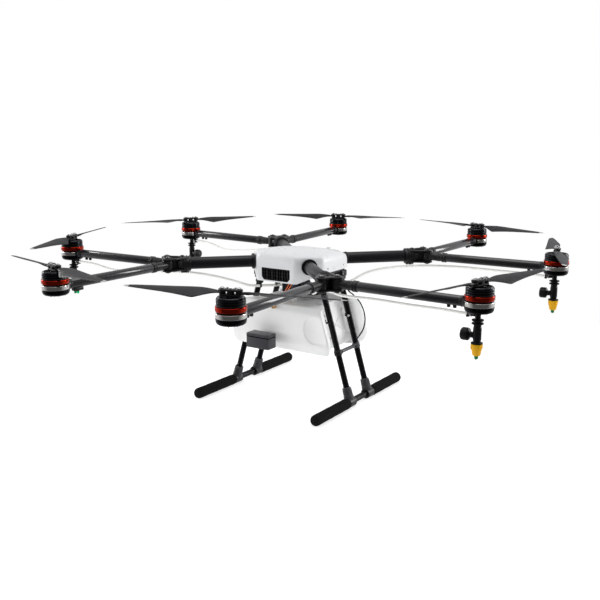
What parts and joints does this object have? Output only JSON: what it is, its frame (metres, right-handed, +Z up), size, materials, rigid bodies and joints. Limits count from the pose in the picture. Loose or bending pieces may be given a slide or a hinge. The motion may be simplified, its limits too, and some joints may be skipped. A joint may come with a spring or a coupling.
{
  "type": "agricultural spray drone",
  "caption": "Folding multirotor spray drone: Y-shaped arms carrying motors with folding propellers, under-slung liquid tank, pump, hoses and nozzles, on a splayed skid landing gear.",
  "frame": {"origin": "on the ground, under the middle of the whole machine with its propellers at rest; the hub axis is 23 mm to +X and 7 mm to -Y of it", "axes": "+Z up; the front of the machine, with the intake grille and the height radar, faces -Y; +X to the machine's right-hand side as seen from the front"},
  "size_m": [1.6518, 1.5671, 0.482],
  "materials": {
    "white_shell": "white moulded shell, satin gloss",
    "joint_black": "black glass-filled nylon, fine moulded texture",
    "carbon_tube": "main arm tube, 3K carbon twill under clear resin",
    "sub_arm_carbon": "folding arm tube, carbon, with black moulded knuckle and motor seat",
    "blade_grey": "carbon-filled nylon propeller blade, graphite grey",
    "motor_black": "black and red anodised motor bell with polished bands",
    "tank_white": "white translucent polyethylene",
    "hose_clear": "whitish translucent tubing",
    "foam_black": "black foam sleeve on a carbon tube",
    "battery_grey": "dark grey battery case",
    "pump_black": "black pump housing",
    "black_plastic": "black moulded plastic"
  },
  "bodies": {
    "airframe": {"center_frame": "joint_black", "body_shell": "white_shell", "intake_grille": "black_plastic", "main_arm_1": "carbon_tube", "y_joint_1": "joint_black", "main_arm_2": "carbon_tube", "y_joint_2": "joint_black", "main_arm_3": "carbon_tube", "y_joint_3": "joint_black", "main_arm_4": "carbon_tube", "y_joint_4": "joint_black", "hose_2": "hose_clear", "hose_3": "hose_clear", "hose_6": "hose_clear", "hose_7": "hose_clear", "tank": "tank_white", "pump": "pump_black", "gear_left": "black_plastic", "skid_left": "foam_black", "gear_right": "black_plastic", "skid_right": "foam_black", "radar": "black_plastic"},
    "folding_arm_1": {"sub_arm_1": "sub_arm_carbon"},
    "rotor_1": {"rotor_1": "motor_black"},
    "blade_1a": {"blade_1a": "blade_grey"},
    "blade_1b": {"blade_1b": "blade_grey"},
    "folding_arm_2": {"sub_arm_2": "sub_arm_carbon", "nozzle_2": "black_plastic"},
    "rotor_2": {"rotor_2": "motor_black"},
    "blade_2a": {"blade_2a": "blade_grey"},
    "blade_2b": {"blade_2b": "blade_grey"},
    "folding_arm_3": {"sub_arm_3": "sub_arm_carbon", "nozzle_3": "black_plastic"},
    "rotor_3": {"rotor_3": "motor_black"},
    "blade_3a": {"blade_3a": "blade_grey"},
    "blade_3b": {"blade_3b": "blade_grey"},
    "folding_arm_4": {"sub_arm_4": "sub_arm_carbon"},
    "rotor_4": {"rotor_4": "motor_black"},
    "blade_4a": {"blade_4a": "blade_grey"},
    "blade_4b": {"blade_4b": "blade_grey"},
    "folding_arm_5": {"sub_arm_5": "sub_arm_carbon"},
    "rotor_5": {"rotor_5": "motor_black"},
    "blade_5a": {"blade_5a": "blade_grey"},
    "blade_5b": {"blade_5b": "blade_grey"},
    "folding_arm_6": {"sub_arm_6": "sub_arm_carbon", "nozzle_6": "black_plastic"},
    "rotor_6": {"rotor_6": "motor_black"},
    "blade_6a": {"blade_6a": "blade_grey"},
    "blade_6b": {"blade_6b": "blade_grey"},
    "folding_arm_7": {"sub_arm_7": "sub_arm_carbon", "nozzle_7": "black_plastic"},
    "rotor_7": {"rotor_7": "motor_black"},
    "blade_7a": {"blade_7a": "blade_grey"},
    "blade_7b": {"blade_7b": "blade_grey"},
    "folding_arm_8": {"sub_arm_8": "sub_arm_carbon"},
    "rotor_8": {"rotor_8": "motor_black"},
    "blade_8a": {"blade_8a": "blade_grey"},
    "blade_8b": {"blade_8b": "blade_grey"},
    "battery": {"battery": "battery_grey"},
    "tank_cap": {"tank_cap": "black_plastic"}
  },
  "joints": [
    {"name": "fold_1", "type": "hinge", "parent": "airframe", "child": "folding_arm_1", "pos_m": [-0.24853, -0.30823, 0.422], "axis": [0, 0, 1], "range_deg": [0, 76]},
    {"name": "spin_1", "type": "hinge", "parent": "folding_arm_1", "child": "rotor_1", "pos_m": [-0.26784, -0.70915, 0.437], "axis": [0, 0, 1], "continuous": true},
    {"name": "blade_fold_1a", "type": "hinge", "parent": "rotor_1", "child": "blade_1a", "pos_m": [-0.24843, -0.71399, 0.472], "axis": [0, 0, -1], "range_deg": [-90, 90]},
    {"name": "blade_fold_1b", "type": "hinge", "parent": "rotor_1", "child": "blade_1b", "pos_m": [-0.28725, -0.70431, 0.472], "axis": [0, 0, -1], "range_deg": [-90, 90]},
    {"name": "fold_2", "type": "hinge", "parent": "airframe", "child": "folding_arm_2", "pos_m": [-0.27823, -0.27853, 0.422], "axis": [0, 0, -1], "range_deg": [0, 100], "deforming": ["hose_2"]},
    {"name": "spin_2", "type": "hinge", "parent": "folding_arm_2", "child": "rotor_2", "pos_m": [-0.67915, -0.29784, 0.437], "axis": [0, 0, 1], "continuous": true},
    {"name": "blade_fold_2a", "type": "hinge", "parent": "rotor_2", "child": "blade_2a", "pos_m": [-0.68696, -0.27943, 0.472], "axis": [0, 0, -1], "range_deg": [-90, 90]},
    {"name": "blade_fold_2b", "type": "hinge", "parent": "rotor_2", "child": "blade_2b", "pos_m": [-0.67133, -0.31625, 0.472], "axis": [0, 0, -1], "range_deg": [-90, 90]},
    {"name": "fold_3", "type": "hinge", "parent": "airframe", "child": "folding_arm_3", "pos_m": [-0.27823, 0.26453, 0.422], "axis": [0, 0, 1], "range_deg": [0, 76], "deforming": ["hose_3"]},
    {"name": "spin_3", "type": "hinge", "parent": "folding_arm_3", "child": "rotor_3", "pos_m": [-0.67915, 0.28384, 0.437], "axis": [0, 0, 1], "continuous": true},
    {"name": "blade_fold_3a", "type": "hinge", "parent": "rotor_3", "child": "blade_3a", "pos_m": [-0.66855, 0.3008, 0.472], "axis": [0, 0, -1], "range_deg": [-90, 90]},
    {"name": "blade_fold_3b", "type": "hinge", "parent": "rotor_3", "child": "blade_3b", "pos_m": [-0.68975, 0.26688, 0.472], "axis": [0, 0, -1], "range_deg": [-90, 90]},
    {"name": "fold_4", "type": "hinge", "parent": "airframe", "child": "folding_arm_4", "pos_m": [-0.24853, 0.29423, 0.422], "axis": [0, 0, -1], "range_deg": [0, 100]},
    {"name": "spin_4", "type": "hinge", "parent": "folding_arm_4", "child": "rotor_4", "pos_m": [-0.26784, 0.69515, 0.437], "axis": [0, 0, 1], "continuous": true},
    {"name": "blade_fold_4a", "type": "hinge", "parent": "rotor_4", "child": "blade_4a", "pos_m": [-0.24882, 0.70133, 0.472], "axis": [0, 0, 1], "range_deg": [-90, 90]},
    {"name": "blade_fold_4b", "type": "hinge", "parent": "rotor_4", "child": "blade_4b", "pos_m": [-0.28686, 0.68897, 0.472], "axis": [0, 0, 1], "range_deg": [-90, 90]},
    {"name": "fold_5", "type": "hinge", "parent": "airframe", "child": "folding_arm_5", "pos_m": [0.29453, 0.29423, 0.422], "axis": [0, 0, 1], "range_deg": [0, 76]},
    {"name": "spin_5", "type": "hinge", "parent": "folding_arm_5", "child": "rotor_5", "pos_m": [0.31384, 0.69515, 0.437], "axis": [0, 0, 1], "continuous": true},
    {"name": "blade_fold_5a", "type": "hinge", "parent": "rotor_5", "child": "blade_5a", "pos_m": [0.33325, 0.69031, 0.472], "axis": [0, 0, -1], "range_deg": [-90, 90]},
    {"name": "blade_fold_5b", "type": "hinge", "parent": "rotor_5", "child": "blade_5b", "pos_m": [0.29443, 0.69999, 0.472], "axis": [0, 0, -1], "range_deg": [-90, 90]},
    {"name": "fold_6", "type": "hinge", "parent": "airframe", "child": "folding_arm_6", "pos_m": [0.32423, 0.26453, 0.422], "axis": [0, 0, -1], "range_deg": [0, 100], "deforming": ["hose_6"]},
    {"name": "spin_6", "type": "hinge", "parent": "folding_arm_6", "child": "rotor_6", "pos_m": [0.72515, 0.28384, 0.437], "axis": [0, 0, 1], "continuous": true},
    {"name": "blade_fold_6a", "type": "hinge", "parent": "rotor_6", "child": "blade_6a", "pos_m": [0.71798, 0.30251, 0.472], "axis": [0, 0, 1], "range_deg": [-90, 90]},
    {"name": "blade_fold_6b", "type": "hinge", "parent": "rotor_6", "child": "blade_6b", "pos_m": [0.73232, 0.26517, 0.472], "axis": [0, 0, 1], "range_deg": [-90, 90]},
    {"name": "fold_7", "type": "hinge", "parent": "airframe", "child": "folding_arm_7", "pos_m": [0.32423, -0.27853, 0.422], "axis": [0, 0, 1], "range_deg": [0, 76], "deforming": ["hose_7"]},
    {"name": "spin_7", "type": "hinge", "parent": "folding_arm_7", "child": "rotor_7", "pos_m": [0.72515, -0.29784, 0.437], "axis": [0, 0, 1], "continuous": true},
    {"name": "blade_fold_7a", "type": "hinge", "parent": "rotor_7", "child": "blade_7a", "pos_m": [0.73066, -0.27861, 0.472], "axis": [0, 0, -1], "range_deg": [-90, 90]},
    {"name": "blade_fold_7b", "type": "hinge", "parent": "rotor_7", "child": "blade_7b", "pos_m": [0.71964, -0.31706, 0.472], "axis": [0, 0, -1], "range_deg": [-90, 90]},
    {"name": "fold_8", "type": "hinge", "parent": "airframe", "child": "folding_arm_8", "pos_m": [0.29453, -0.30823, 0.422], "axis": [0, 0, -1], "range_deg": [0, 100]},
    {"name": "spin_8", "type": "hinge", "parent": "folding_arm_8", "child": "rotor_8", "pos_m": [0.31384, -0.70915, 0.437], "axis": [0, 0, 1], "continuous": true},
    {"name": "blade_fold_8a", "type": "hinge", "parent": "rotor_8", "child": "blade_8a", "pos_m": [0.33316, -0.70397, 0.472], "axis": [0, 0, 1], "range_deg": [-90, 90]},
    {"name": "blade_fold_8b", "type": "hinge", "parent": "rotor_8", "child": "blade_8b", "pos_m": [0.29452, -0.71432, 0.472], "axis": [0, 0, 1], "range_deg": [-90, 90]},
    {"name": "battery_slide", "type": "slide", "parent": "airframe", "child": "battery", "axis": [0, -1, 0], "range_m": [-0.17, 0]},
    {"name": "tank_cap_turn", "type": "hinge", "parent": "airframe", "child": "tank_cap", "pos_m": [0.023, 0.063, 0.314], "axis": [0, 0, 1], "range_deg": [0, 120]}
  ]
}
